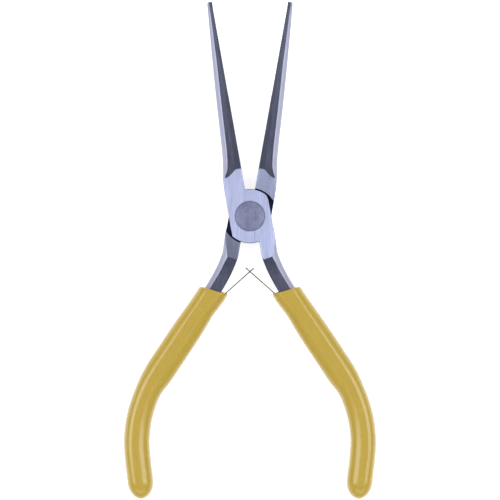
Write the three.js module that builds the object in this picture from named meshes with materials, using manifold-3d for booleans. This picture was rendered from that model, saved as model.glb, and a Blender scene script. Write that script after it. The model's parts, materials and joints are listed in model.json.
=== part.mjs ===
// Needle nose pliers with slip-on handle grips and two crossed leaf springs.
//
// The pliers lie flat, jaws toward +Y, with the pivot's axis on Z and its rear face at z = 0. The two
// forged levers are one design: the rear one is the front one turned half a turn about the long axis.
// So everything on a lever is drawn once, for the front lever in its shut position, with the lap
// between the levers at z = 0. The jaw lies on the -X side of the pivot there, and the handle on its
// +X side. Each half is then swung open.
//
// All sizes are in millimetres.

import * as THREE from 'three';
import { LoftGeometry } from 'three/addons/geometries/LoftGeometry.js';
import { mergeVertices } from 'three/addons/utils/BufferGeometryUtils.js';
import Module from 'manifold-3d';

const wasm = await Module();
wasm.setup();

// ---------------------------------------------------------------- driving dimensions

const SWING = THREE.MathUtils.degToRad( 10 ); // each lever stands this far open

const JOINT_HALF = 4.5; // half the thickness of the joint, cheek to mid plane
const LAP_GAP = 0.1; // between the two halves of the lap
const LAP_RADIUS = 8.1; // round edge of each lever's half of the lap
const SHOULDER_RADIUS = 8.4; // the round shoulder it turns inside
const JOINT_SIDE = 6.3; // flat side of the joint
const LAP_CORNER = { x: 5.6, sideY: 3.9, bend: [ 6.25, 5.0 ] }; // from the flat side to the round edge

const JAW_TIP_Y = 65.7;
const JAW_TIP_HALF = 1.0; // half the thickness of the jaw at its tip
const JAW_TAPER = 0.068; // growth of that half thickness for each millimetre back from the tip
const JAW_FACE_X = - 0.06; // the gripping faces stop just short of each other
const JAW_BACK = [
	[ 4, 6.3 ], [ 8.5, 6.28 ], [ 12, 6.07 ], [ 15.6, 5.56 ],
	[ 21, 4.89 ], [ 39, 3.72 ], [ 57, 2.3 ], [ 67, 1.45 ],
]; // distance of the jaw's back from the gripping face, at each y
const JAW_CORNER = { width: 1.5, widthShare: 0.46, upShare: 0.7, fromY: 10, toY: 16 }; // rounding of its back
const JAW_CROWN = 0.045; // fall of the jaw's faces toward its back, as a share of their width
const JAW_TIP = { length: 0.6, narrowing: 0.5, thinning: 0.4 }; // the rounding off at the very tip
const TEETH = { from: 37, to: 64, pitch: 0.9, depth: 0.12 };

const HANDLE_LINE = [
	[ 3.85, - 3 ], [ 3.9, - 9 ], [ 4.0, - 13.5 ], [ 6.08, - 21 ], [ 11.37, - 34 ], [ 18.34, - 50 ],
	[ 20.9, - 56.5 ], [ 22.1, - 63 ], [ 22.2, - 69 ], [ 21.3, - 75 ], [ 18.4, - 85 ], [ 17.3, - 89.4 ],
]; // the middle of the handle
const TANG_HALF_WIDTH = 2.42;
const TANG_HALF = 3.0; // half the thickness of the tang where it lies in the grip
const TANG_ROOT_HALF = 5.05; // and at the joint, before its faces are ground flush with the cheeks
const TANG_SLIM = { fromY: - 9, toY: - 21 }; // where it thins from one to the other
const TANG_NECK = 0.12; // extra half width between the joint and the handle
const TANG_END_Y = - 82;
const TANG_END_TAPER = { fromY: - 78, by: 0.7 }; // narrowing toward its end
const SOFT_EDGE = 0.1; // broken edges of the steel
const TANG_ROUND = { inner: 0.5, outer: 1.7, outerUp: 2.2, fromY: - 5.5, toY: - 11 }; // corners of the handle

const GRIP_HALF = 4.5; // half the thickness of the grip
const GRIP_HALF_WIDTH = 4.03; // at its mouth
const GRIP_SWELL = { by: 0.47, from: - 24, to: - 40 }; // it widens down the hand
const GRIP_WAIST = { by: 0.59, from: - 50, to: - 58 }; // and narrows again
const GRIP_ROUND = { inner: 0.95, innerAtMouth: 0.7, outer: 0.7, up: 0.8 }; // corners, as shares of the sides
const GRIP_FLARE = { by: 0.6, from: - 24, to: - 29 }; // swelling over the leaf at the mouth
const GRIP_FIT = 0.08; // between the tang and the grip around it
const GRIP_END_Y = - 89.3;
const GRIP_DOME = { length: 5.2, endShare: 0.25 }; // the rounded end, and how much of the thickness it keeps
const MOUTH = { inner: [ 3.03, - 24.6 ], outer: [ 11.36, - 23.7 ] }; // the grip's slanting upper end

const RIVET = { face: 4.35, rim: 0.35, cone: 1.3, shank: 3.0, fixed: 0.02, running: 0.1, sides: 64 };

const LEAF = {
	pivot: [ 3.45, - 24.36 ], // where the leaf leaves the grip
	crossing: [ - 2.883, - 16.348 ], // where it meets the other leaf
	thickness: 0.35,
	halfWidth: 1.8,
	footY: - 28.6, // where it bends toward the tang
	heelY: - 30.8, // where it settles on the tang
	tailY: - 36.5, // where its riveted tail ends
	lift: 0.04, // between the tail and the tang
};
const TONGUE = { reach: 1.7, neckHalf: 0.8, neckFrom: - 1.2, neckTo: 0.9, headHalf: 1.5 };
const WINDOW = { reach: 1.5, half: 1.1, from: - 1.1, to: 0.9 };
const LEAF_RIVET = { y: - 32.8, head: 1.3, dome: 0.45, rim: 0.15, shank: 0.75, depth: 2.6, fit: 0.03 };
const CHANNEL = {
	mouthDepth: 1.9, // away from the tang
	depth: 1.05, // where the tail lies
	slopeFrom: - 24,
	slopeTo: - 29,
	endY: - 37,
	extraHalf: 0.25, // beside the leaf
	overlap: 0.5, // reach into the space cut for the tang
};

// ---------------------------------------------------------------- geometry helpers

const { smoothstep, lerp } = THREE.MathUtils;
const vectors = ( pairs ) => pairs.map( ( [ x, y ] ) => new THREE.Vector2( x, y ) );
const steps = ( from, to, count ) =>
	Array.from( { length: count + 1 }, ( _, k ) => lerp( from, to, k / count ) );

// 0 at one y and 1 at a lower one, with a smooth change between.
const downTo = ( y, from, to ) => smoothstep( - y, - from, - to );

// A closed three.js geometry as a solid for joining and cutting.
function solid( geometry ) {

	const bare = new THREE.BufferGeometry().copy( geometry );
	bare.deleteAttribute( 'normal' );
	bare.deleteAttribute( 'uv' );
	const merged = mergeVertices( bare );
	return new wasm.Manifold( new wasm.Mesh( {
		numProp: 3,
		vertProperties: new Float32Array( merged.attributes.position.array ),
		triVerts: new Uint32Array( merged.index.array ),
	} ) );

}

// A flat outline given a thickness from z0 to z1.
function plate( shape, z0, z1, curveSegments = 24 ) {

	const options = { depth: z1 - z0, bevelEnabled: false, curveSegments };
	return solid( new THREE.ExtrudeGeometry( shape, options ).translate( 0, 0, z0 ) );

}

// A round piece turned about Z from [ radius, z ] pairs that start and end on the axis, lowest first.
function turned( profile, sides ) {

	return solid( new THREE.LatheGeometry( vectors( profile ), sides ).rotateX( Math.PI / 2 ) );

}

// A body skinned over sections, each a ring of [ across, up ] pairs standing on its own place.
function lofted( stations ) {

	const rings = stations.map( ( { place, ring } ) => ring.map( ( [ across, up ] ) =>
		new THREE.Vector3( place.x + place.acrossX * across, place.y + place.acrossY * across, up ) ) );
	return solid( new LoftGeometry( rings, { capStart: true, capEnd: true } ) );

}

// The ring of a bar's section: rounded corners, and faces that fall by `crown` at the outer edge.
function barRing( { inner, outer, half, innerRound, outerRound, crown = 0 } ) {

	const corner = ( signA, signU, [ roundA, roundU ], edge ) => steps( 0, Math.PI / 2, 4 ).map( ( turn ) => {

		const rising = [ Math.cos( turn ), Math.sin( turn ) ];
		const [ a, u ] = signA * signU > 0 ? rising : rising.reverse();
		return [ edge - signA * roundA * ( 1 - a ), signU * ( half - roundU * ( 1 - u ) ) ];

	} );
	const middle = ( inner + outer ) / 2;
	const ring = [
		...corner( - 1, - 1, innerRound, inner ),
		[ middle, - half ],
		...corner( 1, - 1, outerRound, outer ),
		...corner( 1, 1, outerRound, outer ),
		[ middle, half ],
		...corner( - 1, 1, innerRound, inner ),
	];
	return ring.map( ( [ a, u ] ) => [ a, u - Math.sign( u ) * crown * smoothstep( a, middle, outer ) ] );

}

// ---------------------------------------------------------------- places along the lever

const jawBack = new THREE.SplineCurve( vectors( JAW_BACK ) );
const handleLine = new THREE.SplineCurve( vectors( HANDLE_LINE ) );

// The curve parameter at which a steadily rising or falling coordinate reaches a value.
function parameterAt( curve, axis, value ) {

	const rising = curve.getPoint( 1 )[ axis ] > curve.getPoint( 0 )[ axis ];
	let [ low, high ] = [ 0, 1 ];
	for ( let step = 0; step < 40; step ++ ) {

		const middle = ( low + high ) / 2;
		if ( ( curve.getPoint( middle )[ axis ] < value ) === rising ) low = middle;
		else high = middle;

	}
	return ( low + high ) / 2;

}

// A place on the gripping face, looking out to the jaw's back.
const jawPlace = ( y ) => ( { x: 0, y, acrossX: - 1, acrossY: 0 } );

// A place on the handle's centre line, looking out to the handle's outer side.
function handlePlace( y ) {

	const t = parameterAt( handleLine, 'y', y );
	const point = handleLine.getPoint( t );
	const along = handleLine.getTangent( t );
	return { x: point.x, y: point.y, acrossX: - along.y, acrossY: along.x };

}

// The point at a distance across from the handle's centre line.
function handlePoint( y, across ) {

	const place = handlePlace( y );
	return new THREE.Vector2( place.x + place.acrossX * across, place.y + place.acrossY * across );

}

// ---------------------------------------------------------------- lever

// The tapering jaw, with a half-round back.
function jawBar() {

	const roundFrom = JAW_TIP_Y - JAW_TIP.length;
	const ys = [ 4, 8, 10.5, 12, 13.5, 15, 17, ...steps( 21, 63, 7 ), roundFrom, JAW_TIP_Y - 0.2, JAW_TIP_Y ];
	const stations = ys.map( ( y ) => {

		const past = Math.max( 0, ( y - roundFrom ) / JAW_TIP.length );
		const shrink = 1 - Math.sqrt( 1 - past * past );
		const half = JAW_TIP_HALF + JAW_TAPER * ( JAW_TIP_Y - y ) - JAW_TIP.thinning * shrink;
		const back = jawBack.getPoint( parameterAt( jawBack, 'x', y ) ).y;
		const outer = back - JAW_TIP.narrowing * shrink;
		const rounding = Math.max( 0.15, smoothstep( y, JAW_CORNER.fromY, JAW_CORNER.toY ) );
		const corner = Math.min( JAW_CORNER.width, JAW_CORNER.widthShare * outer );
		const ring = barRing( {
			inner: - 1,
			outer,
			half,
			innerRound: [ SOFT_EDGE, SOFT_EDGE ],
			outerRound: [ corner * rounding, JAW_CORNER.upShare * half * rounding ],
			crown: JAW_CROWN * ( outer - corner ),
		} );
		return { place: jawPlace( y ), ring };

	} );
	return lofted( stations );

}

// The handle's steel, from the joint to its end inside the grip, `extra` larger all round.
function tangBar( extra = 0 ) {

	const ys = [
		- 3, - 7, - 9.5, - 11, - 12.5, - 14, - 16, - 18,
		...steps( - 20, - 76, 14 ),
		- 80, TANG_END_Y - extra,
	];
	const stations = ys.map( ( y ) => {

		const slimming = downTo( y, TANG_SLIM.fromY, TANG_SLIM.toY );
		const half = lerp( TANG_ROOT_HALF, TANG_HALF, slimming ) + extra;
		const flank = downTo( y, TANG_ROUND.fromY, TANG_ROUND.toY );
		const innerRound = lerp( SOFT_EDGE, TANG_ROUND.inner, slimming );
		const outerRound = lerp( SOFT_EDGE, TANG_ROUND.outer, flank );
		const outerUp = lerp( SOFT_EDGE, TANG_ROUND.outerUp, flank );
		const neck = TANG_NECK * downTo( y, - 3, - 6 ) * ( 1 - downTo( y, - 6, - 10 ) );
		const taper = TANG_END_TAPER.by * downTo( y, TANG_END_TAPER.fromY, TANG_END_Y );
		const width = TANG_HALF_WIDTH + neck - taper + extra;
		const ring = barRing( {
			inner: - width,
			outer: width,
			half,
			innerRound: [ innerRound, innerRound ],
			outerRound: [ outerRound, outerUp ],
		} );
		return { place: handlePlace( y ), ring };

	} );
	return lofted( stations );

}

// One lever's half of the lap: a disc with flattened sides.
function lapPlate() {

	const flatTurn = Math.acos( JOINT_SIDE / LAP_RADIUS );
	const cornerTurn = Math.acos( LAP_CORNER.x / LAP_RADIUS );
	const shape = new THREE.Shape();
	shape.moveTo( - JOINT_SIDE, 6 );
	shape.lineTo( - JOINT_SIDE, - LAP_RADIUS * Math.sin( flatTurn ) );
	shape.absarc( 0, 0, LAP_RADIUS, Math.PI + flatTurn, 2 * Math.PI - flatTurn, false );
	shape.lineTo( JOINT_SIDE, LAP_CORNER.sideY );
	shape.quadraticCurveTo( ...LAP_CORNER.bend, LAP_CORNER.x, LAP_RADIUS * Math.sin( cornerTurn ) );
	shape.absarc( 0, 0, LAP_RADIUS, cornerTurn, Math.PI / 2, false );
	return plate( shape, - JOINT_HALF, JOINT_HALF, 48 );

}

// What is ground away in front of the jaw's gripping face, with the teeth that it leaves.
function gripFaceCutter() {

	const shape = new THREE.Shape();
	shape.moveTo( 3, 0 );
	shape.lineTo( 3, JAW_TIP_Y + 1 );
	shape.lineTo( JAW_FACE_X, JAW_TIP_Y + 1 );
	const count = Math.round( ( TEETH.to - TEETH.from ) / TEETH.pitch );
	for ( const y of steps( TEETH.to, TEETH.from, count ).slice( 0, - 1 ) ) {

		shape.lineTo( JAW_FACE_X, y );
		shape.lineTo( JAW_FACE_X - TEETH.depth, y - TEETH.pitch / 2 );

	}
	shape.lineTo( JAW_FACE_X, TEETH.from );
	shape.lineTo( JAW_FACE_X, 0 );
	return plate( shape, - 7, 7 );

}

// The rivet's outline at one clearance, from its rear face to its front face.
function rivetProfile( clearance, half ) {

	const { face, rim, cone, shank } = RIVET;
	return [
		[ 0, - half ],
		[ face + clearance, - half ],
		[ face + clearance, - JOINT_HALF + rim ],
		[ shank + clearance, - JOINT_HALF + rim + cone ],
		[ shank + clearance, JOINT_HALF - rim - cone ],
		[ face + clearance, JOINT_HALF - rim ],
		[ face + clearance, half ],
		[ 0, half ],
	];

}

// A forged lever, ground flat on both cheeks, with half its thickness cut away for the other lever's lap.
function lever( rivetClearance ) {

	const grinding = solid( new THREE.BoxGeometry( 80, 180, 2 * JOINT_HALF ) );
	const deep = 2 * JOINT_HALF;
	const disc = new THREE.CylinderGeometry( SHOULDER_RADIUS, SHOULDER_RADIUS, deep, 96 );
	const pocket = solid( disc.rotateX( Math.PI / 2 ).translate( 0, 0, ( LAP_GAP - deep ) / 2 ) );
	return jawBar()
		.subtract( gripFaceCutter() )
		.add( tangBar() )
		.add( lapPlate() )
		.intersect( grinding )
		.subtract( pocket )
		.subtract( turned( rivetProfile( rivetClearance, JOINT_HALF + 1 ), RIVET.sides ) )
		.subtract( leafRivet( LEAF_RIVET.fit ) );

}

// ---------------------------------------------------------------- leaf springs

const unit = ( from, to ) => to.clone().sub( from ).normalize();

// The leaf's middle line, from its free end down to its tail, as an edge-on path.
function leafPath( reach ) {

	const [ pivot, crossing ] = vectors( [ LEAF.pivot, LEAF.crossing ] );
	const free = crossing.clone().addScaledVector( unit( pivot, crossing ), reach );
	const offset = - ( TANG_HALF_WIDTH + LEAF.lift + LEAF.thickness / 2 );
	const heel = handlePoint( LEAF.heelY, offset );
	const path = new THREE.CurvePath();
	path.add( new THREE.LineCurve( free, pivot ) );
	path.add( new THREE.QuadraticBezierCurve( pivot, handlePoint( LEAF.footY, offset ), heel ) );
	path.add( new THREE.LineCurve( heel, handlePoint( LEAF.tailY, offset ) ) );
	return path;

}

// The strip as bent, seen edge on, then given its width.
function leafStrip( path ) {

	const points = path.getPoints( 8 );
	const side = ( sign ) => points.map( ( point, k ) => {

		const along = unit( points[ Math.max( 0, k - 1 ) ], points[ Math.min( points.length - 1, k + 1 ) ] );
		const normal = new THREE.Vector2( - along.y, along.x );
		return point.clone().addScaledVector( normal, sign * LEAF.thickness / 2 );

	} );
	const outline = new THREE.Shape( [ ...side( - 1 ), ...side( 1 ).reverse() ] );
	return plate( outline, - LEAF.halfWidth, LEAF.halfWidth );

}

// A block across the leaf near the crossing, from one place along it to another, and across its width.
function leafBlock( from, to, low, high ) {

	const [ pivot, crossing ] = vectors( [ LEAF.pivot, LEAF.crossing ] );
	const along = unit( pivot, crossing );
	const centre = crossing.clone().addScaledVector( along, ( from + to ) / 2 );
	const box = new THREE.BoxGeometry( to - from, 1.6, high - low );
	return solid( box.rotateZ( along.angle() ).translate( centre.x, centre.y, ( low + high ) / 2 ) );

}

// The front leaf ends in a tongue with a wider head, which hooks behind the other leaf's window.
function tongueLeaf() {

	const { reach, neckHalf, neckFrom, neckTo, headHalf } = TONGUE;
	const edge = LEAF.halfWidth + 1;
	return leafStrip( leafPath( reach ) )
		.subtract( leafBlock( neckFrom, neckTo, neckHalf, edge ) )
		.subtract( leafBlock( neckFrom, neckTo, - edge, - neckHalf ) )
		.subtract( leafBlock( neckTo, reach + 1, headHalf, edge ) )
		.subtract( leafBlock( neckTo, reach + 1, - edge, - headHalf ) )
		.subtract( leafRivet( LEAF_RIVET.fit ) );

}

// The rear leaf ends in a window, which the tongue passes through.
function windowLeaf() {

	return leafStrip( leafPath( WINDOW.reach ) )
		.subtract( leafBlock( WINDOW.from, WINDOW.to, - WINDOW.half, WINDOW.half ) )
		.subtract( leafRivet( LEAF_RIVET.fit ) );

}

// The small rivet that holds a leaf's tail to the tang's inner side.
function leafRivet( clearance = 0 ) {

	const { head, dome, rim, shank, depth } = LEAF_RIVET;
	const tail = TANG_HALF_WIDTH + 2 * LEAF.lift + LEAF.thickness;
	const profile = [
		[ 0, tail - depth - clearance ],
		[ shank + clearance, tail - depth - clearance ],
		[ shank + clearance, tail ],
		[ head, tail ],
		[ head, tail + rim ],
		[ head * 0.6, tail + dome * 0.85 ],
		[ 0, tail + dome ],
	];
	const place = handlePlace( LEAF_RIVET.y );
	const inward = Math.atan2( place.acrossX, - place.acrossY );
	const rivet = new THREE.LatheGeometry( vectors( profile ), 24 ).rotateZ( inward );
	return solid( rivet.translate( place.x, place.y, 0 ) );

}

// ---------------------------------------------------------------- grip

// The grip's outer form before its mouth and hollow are cut.
function gripBlank() {

	const domeFrom = GRIP_END_Y + GRIP_DOME.length;
	const domeTurns = steps( 0, 0.985 * Math.PI / 2, 8 ); // stops just short of a point
	const ys = [
		...steps( - 18, - 50, 12 ),
		...steps( - 53, - 59, 3 ),
		...steps( - 62, domeFrom + 1.5, 6 ),
		...domeTurns.map( ( turn ) => domeFrom - GRIP_DOME.length * Math.sin( turn ) ),
	];
	const stations = ys.map( ( y ) => {

		const past = Math.max( 0, ( domeFrom - y ) / GRIP_DOME.length );
		const shrink = Math.sqrt( 1 - past * past );
		const swell = GRIP_SWELL.by * downTo( y, GRIP_SWELL.from, GRIP_SWELL.to );
		const waist = GRIP_WAIST.by * downTo( y, GRIP_WAIST.from, GRIP_WAIST.to );
		const flare = GRIP_FLARE.by * ( 1 - downTo( y, GRIP_FLARE.from, GRIP_FLARE.to ) );
		const width = ( GRIP_HALF_WIDTH + swell - waist ) * shrink;
		const half = GRIP_HALF * lerp( GRIP_DOME.endShare, 1, shrink );
		const innerShare = lerp( GRIP_ROUND.innerAtMouth, GRIP_ROUND.inner, downTo( y, - 26, - 34 ) );
		const ring = barRing( {
			inner: - width - flare,
			outer: width,
			half,
			innerRound: [ innerShare * width, GRIP_ROUND.up * half ],
			outerRound: [ GRIP_ROUND.outer * width, GRIP_ROUND.up * half ],
		} );
		return { place: handlePlace( y ), ring };

	} );
	return lofted( stations );

}

// The slanting plane that ends the grip, as a block above it.
function mouthCutter() {

	const [ inner, outer ] = vectors( [ MOUTH.inner, MOUTH.outer ] );
	const along = unit( inner, outer );
	const depth = 20;
	const away = new THREE.Vector2( - along.y, along.x );
	const centre = inner.clone().lerp( outer, 0.5 ).addScaledVector( away, depth / 2 );
	const box = new THREE.BoxGeometry( 30, depth, 20 ).rotateZ( along.angle() );
	return solid( box.translate( centre.x, centre.y, 0 ) );

}

// The channel inside the grip where the leaf's tail and its rivet lie against the tang, open at the mouth.
function leafChannel() {

	const ys = steps( - 20, CHANNEL.endY, 12 );
	const tangSide = ys.map( ( y ) => handlePoint( y, - TANG_HALF_WIDTH + CHANNEL.overlap ) );
	const gripSide = ys.map( ( y ) => {

		const slope = downTo( y, CHANNEL.slopeFrom, CHANNEL.slopeTo );
		return handlePoint( y, - TANG_HALF_WIDTH - lerp( CHANNEL.mouthDepth, CHANNEL.depth, slope ) );

	} );
	const half = LEAF.halfWidth + CHANNEL.extraHalf;
	return plate( new THREE.Shape( [ ...tangSide, ...gripSide.reverse() ] ), - half, half );

}

// The hollow vinyl sleeve on the handle.
function grip() {

	return gripBlank()
		.subtract( tangBar( GRIP_FIT ) )
		.subtract( leafChannel() )
		.subtract( mouthCutter() );

}

// ---------------------------------------------------------------- assembly

const steel = { color: 0xa4a8c4, roughness: 0.35, metalness: 0.9 };
const rivetSteel = { color: 0x8487a6, roughness: 0.45, metalness: 0.9 };
const springSteel = { color: 0x8c8c8c, roughness: 0.3, metalness: 0.9 };
const vinyl = { color: 0xc3aa50, roughness: 0.3, metalness: 0 };

function mesh( name, body, finish ) {

	const { vertProperties, triVerts } = body.getMesh();
	const geometry = new THREE.BufferGeometry();
	geometry.setAttribute( 'position', new THREE.BufferAttribute( vertProperties, 3 ) );
	geometry.setIndex( new THREE.BufferAttribute( triVerts, 1 ) );
	geometry.computeVertexNormals();
	const material = new THREE.MeshStandardMaterial( { ...finish, flatShading: true } );
	const made = new THREE.Mesh( geometry, material );
	made.name = name;
	return made;

}

// One lever with what is fastened to it, swung open from the shut position.
function leverHalf( side, leverName, rivetClearance, leaf ) {

	const half = new THREE.Group();
	half.add(
		mesh( leverName, lever( rivetClearance ), steel ),
		mesh( `${ side }_grip`, grip(), vinyl ),
		mesh( `${ side }_leaf_spring`, leaf, springSteel ),
		mesh( `${ side }_spring_rivet`, leafRivet(), rivetSteel ),
	);
	half.rotation.z = SWING;
	return half;

}

const rearHalf = new THREE.Group();
rearHalf.rotation.y = Math.PI; // the front half turned over about the long axis
rearHalf.add( leverHalf( 'left', 'rear_lever', RIVET.running, windowLeaf() ) );

const pliers = new THREE.Group();
pliers.position.z = JOINT_HALF; // the joint's rear face lies at z = 0
pliers.add(
	leverHalf( 'right', 'front_lever', RIVET.fixed, tongueLeaf() ),
	rearHalf,
	mesh( 'pivot_rivet', turned( rivetProfile( 0, JOINT_HALF ), RIVET.sides ), rivetSteel ),
);

export default pliers;
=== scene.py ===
"""Needle nose pliers: fine meshes, materials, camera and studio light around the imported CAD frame.

Lengths in this script are millimetres until a mesh is finished, when it is scaled to metres. Everything
on a lever is drawn once, for the front lever in its shut position, with the lap at z = 0: the jaw on the
-X side of the pivot and the handle on its +X side. The rear half is the same, turned over about the long
axis. The floor, the lights and the camera are placed in metres.
"""

import json
import math

import bmesh
import bpy
from mathutils import Matrix, Vector


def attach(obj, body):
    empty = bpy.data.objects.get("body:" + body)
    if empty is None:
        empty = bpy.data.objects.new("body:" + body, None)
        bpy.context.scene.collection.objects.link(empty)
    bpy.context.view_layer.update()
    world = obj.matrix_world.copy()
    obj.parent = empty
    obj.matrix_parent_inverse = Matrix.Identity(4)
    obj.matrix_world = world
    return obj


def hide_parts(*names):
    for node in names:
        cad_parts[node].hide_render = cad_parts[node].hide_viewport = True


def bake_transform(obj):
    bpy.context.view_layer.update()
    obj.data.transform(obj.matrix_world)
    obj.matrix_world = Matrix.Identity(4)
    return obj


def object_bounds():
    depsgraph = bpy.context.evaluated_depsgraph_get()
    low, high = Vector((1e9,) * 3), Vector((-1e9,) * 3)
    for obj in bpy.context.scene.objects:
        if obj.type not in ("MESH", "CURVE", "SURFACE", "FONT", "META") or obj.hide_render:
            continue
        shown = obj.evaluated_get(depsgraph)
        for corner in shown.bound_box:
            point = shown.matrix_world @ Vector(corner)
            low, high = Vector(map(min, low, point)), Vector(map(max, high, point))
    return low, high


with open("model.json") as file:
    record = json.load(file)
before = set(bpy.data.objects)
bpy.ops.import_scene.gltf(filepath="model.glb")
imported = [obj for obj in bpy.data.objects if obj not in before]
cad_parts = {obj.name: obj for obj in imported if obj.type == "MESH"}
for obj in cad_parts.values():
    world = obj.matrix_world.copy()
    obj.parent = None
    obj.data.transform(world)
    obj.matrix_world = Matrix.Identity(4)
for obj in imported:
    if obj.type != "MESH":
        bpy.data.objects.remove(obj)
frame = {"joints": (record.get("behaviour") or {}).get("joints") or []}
cad_box = [list(corner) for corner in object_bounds()]

MM = 0.001
JOINTS = {joint["name"]: joint for joint in frame["joints"]}
PIVOT = Vector(JOINTS["main_pivot"]["pos_m"]) / MM

# ---------------------------------------------------------------- driving dimensions

SWING = math.radians(10)  # how far each lever stands open at rest
JOINT_HALF = PIVOT.z  # half the thickness of the joint
LAP_GAP = 0.1
LAP_RADIUS = 8.1
SHOULDER_RADIUS = 8.4
JOINT_SIDE = 6.3
LAP_CORNER_X = 5.6  # where the flat side turns into the round edge
LAP_BEND_FROM_Y, LAP_BEND_Y, LAP_BEND_IN = 3.9, 5.0, 0.05  # the soft bend between the two
LAP_JAW_Y = 4.5  # how far up the jaw's back the lap's outline reaches
EDGE = 0.14  # radius of the broken edges on the steel
LAP_EDGE = 0.22  # and round the lap
EDGE_TURNS = [math.radians(turn) for turn in (0, 30, 60, 90)]

JAW_FOOT_Y = 4
JAW_TIP_Y = 65.7
JAW_TIP_HALF = 1.0
JAW_TAPER = 0.068  # growth of the half thickness for each millimetre from the tip
JAW_FACE_X = -0.06
JAW_BACK = [  # y, and how far the jaw's back stands from the long axis there
    (4, 6.3), (8.5, 6.28), (12, 6.07), (15.6, 5.56), (21, 4.89), (39, 3.72), (57, 2.3), (67, 1.45),
]
JAW_CORNER = 1.5  # width of the rounded corners at the jaw's back
JAW_CORNER_SHARE = 0.46  # the most of the jaw's width that they take
JAW_CORNER_TALL = 0.7  # their height, as a share of the half thickness
JAW_CORNER_FROM, JAW_CORNER_TO = 10, 16  # the stretch over which they grow
JAW_CROWN = 0.045  # fall of the jaw's faces toward its back, as a share of their width
JAW_CROWN_FROM, JAW_CROWN_TO = 6, 16
CROWN_LEVEL = 0.3  # the share of the width that stays level
TIP_ROUND = 0.6
TIP_IN_FACE, TIP_IN_BACK, TIP_IN_SIDES = 0.1, 0.5, 0.4  # how far the rounding draws the tip in
TEETH_FROM, TEETH_TO, TEETH_PITCH, TEETH_DEPTH = 37, 64, 0.9, 0.12

HANDLE_LINE = [  # the handle's centre line
    (3.85, -3), (3.9, -9), (4.0, -13.5), (6.08, -21), (11.37, -34), (18.34, -50),
    (20.9, -56.5), (22.1, -63), (22.2, -69), (21.3, -75), (18.4, -85), (17.3, -89.4),
]
TANG_HALF_WIDTH = 2.42
TANG_HALF = 3.0
TANG_RISE = 0.55  # how far the handle's section stands past the cheek that cuts it flat
TANG_SLIM_FROM_Y, TANG_SLIM_TO_Y = -9, -21  # the stretch over which it thins to TANG_HALF
TANG_ROUND = 0.5  # corners on its inner side
TANG_FLANK_WIDE, TANG_FLANK_TALL = 2.4, 2.2  # the rounded flank on its outer side
TANG_FLANK_FROM_Y, TANG_FLANK_TO_Y = -5.5, -11
TANG_FLANK_LOSS, TANG_FLANK_LOSS_TO_Y = 0.9, -16  # the flank narrows again below that
TANG_NECK, TANG_NECK_FROM_Y, TANG_NECK_Y, TANG_NECK_TO_Y = 0.12, -3, -6, -10  # a slight swelling
TANG_END_Y = -82
TANG_POINT, TANG_POINT_FROM_Y = 0.7, -78  # how far the end is drawn in on each side

GRIP_HALF = 4.5
GRIP_HALF_WIDTH = 4.03  # at the mouth
GRIP_SWELL, GRIP_SWELL_FROM_Y, GRIP_SWELL_TO_Y = 0.47, -24, -40
GRIP_WAIST, GRIP_WAIST_FROM_Y, GRIP_WAIST_TO_Y = 1.25, -50, -58  # the loss, as a share of the swell
GRIP_END_Y = -89.3
GRIP_DOME = 5.2
GRIP_DOME_SHARE = 0.99  # the dome stops just short of its pole
GRIP_DOME_THIN = 0.25  # the thickness left at the pole
GRIP_ROUND_INNER, GRIP_ROUND_OUTER = 0.95, 0.7  # shares of the half width that the corners take
GRIP_ROUND_UP = 0.8  # and of the half thickness
GRIP_ROUND_MOUTH = 0.7  # the inner corners' share at the mouth
GRIP_ROUND_FROM_Y, GRIP_ROUND_TO_Y = -28, -36
GRIP_LIP = 0.45  # radius of the mouth's rounded edge
GRIP_FLARE = 0.6  # how far the sleeve swells over the leaf at its mouth
GRIP_FLARE_FROM_Y, GRIP_FLARE_TO_Y = -25.5, -31
GRIP_SLANT_TO_Y = -35  # where the rings stand square to the handle again
MOUTH_INNER, MOUTH_OUTER = Vector((3.03, -24.6)), Vector((11.36, -23.7))

GRIP_FIT = 0.1  # clearance round the tang
HOLLOW_EASE, HOLLOW_EASE_DEPTH = 0.15, 0.3  # the hollow's widening at the mouth
HOLLOW_MOUTH_CORNER = (0.9, 1.0)  # width and height of the corners at the mouth
HOLLOW_CORNER, HOLLOW_CORNER_DEPTH = (0.5, 0.5), 1.5  # and from this deep on

RIVET_FACE, RIVET_RIM, RIVET_CONE, RIVET_SHANK = 4.35, 0.35, 1.3, 3.0
RIVET_CLEARANCE = 0.05
RIVET_SOFT = 0.07  # radius of the rivet's softened rim

LEAF_PIVOT, LEAF_CROSSING = Vector((3.45, -24.36)), Vector((-2.883, -16.348))
LEAF_THICKNESS, LEAF_HALF_WIDTH, LEAF_LIFT = 0.35, 1.8, 0.04
LEAF_SOFT = 0.08  # chamfer of the leaf's long edges
LEAF_CUT_HALF = 0.8  # of the blocks that cut its end to shape, across the leaf
LEAF_FOOT_Y, LEAF_HEEL_Y, LEAF_TAIL_Y = -28.6, -30.8, -36.5
TONGUE_REACH, HEAD_HALF = 1.7, 1.5
NECK_HALF, NECK_FROM, NECK_TO = 0.8, -1.2, 0.9
WINDOW_REACH, WINDOW_HALF, WINDOW_FROM, WINDOW_TO = 1.5, 1.1, -1.1, 0.9

LEAF_RIVET_Y = -32.8
LEAF_RIVET_HEAD, LEAF_RIVET_RIM, LEAF_RIVET_DOME = 1.3, 0.12, 0.45
LEAF_RIVET_SHANK, LEAF_RIVET_DEPTH = 0.75, 2.6
LEAF_RIVET_FIT = 0.03

CHANNEL_HALF = 2.05
CHANNEL_MOUTH_DEPTH, CHANNEL_DEPTH = 1.9, 1.05
CHANNEL_SLOPE_FROM_Y, CHANNEL_SLOPE_TO_Y = -24, -29
CHANNEL_TOP_Y, CHANNEL_END_Y = -20, -37
CHANNEL_OVERLAP = 0.5  # with the hollow it joins


# ---------------------------------------------------------------- small maths

def lerp(a, b, t):
    return a + (b - a) * t


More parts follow.
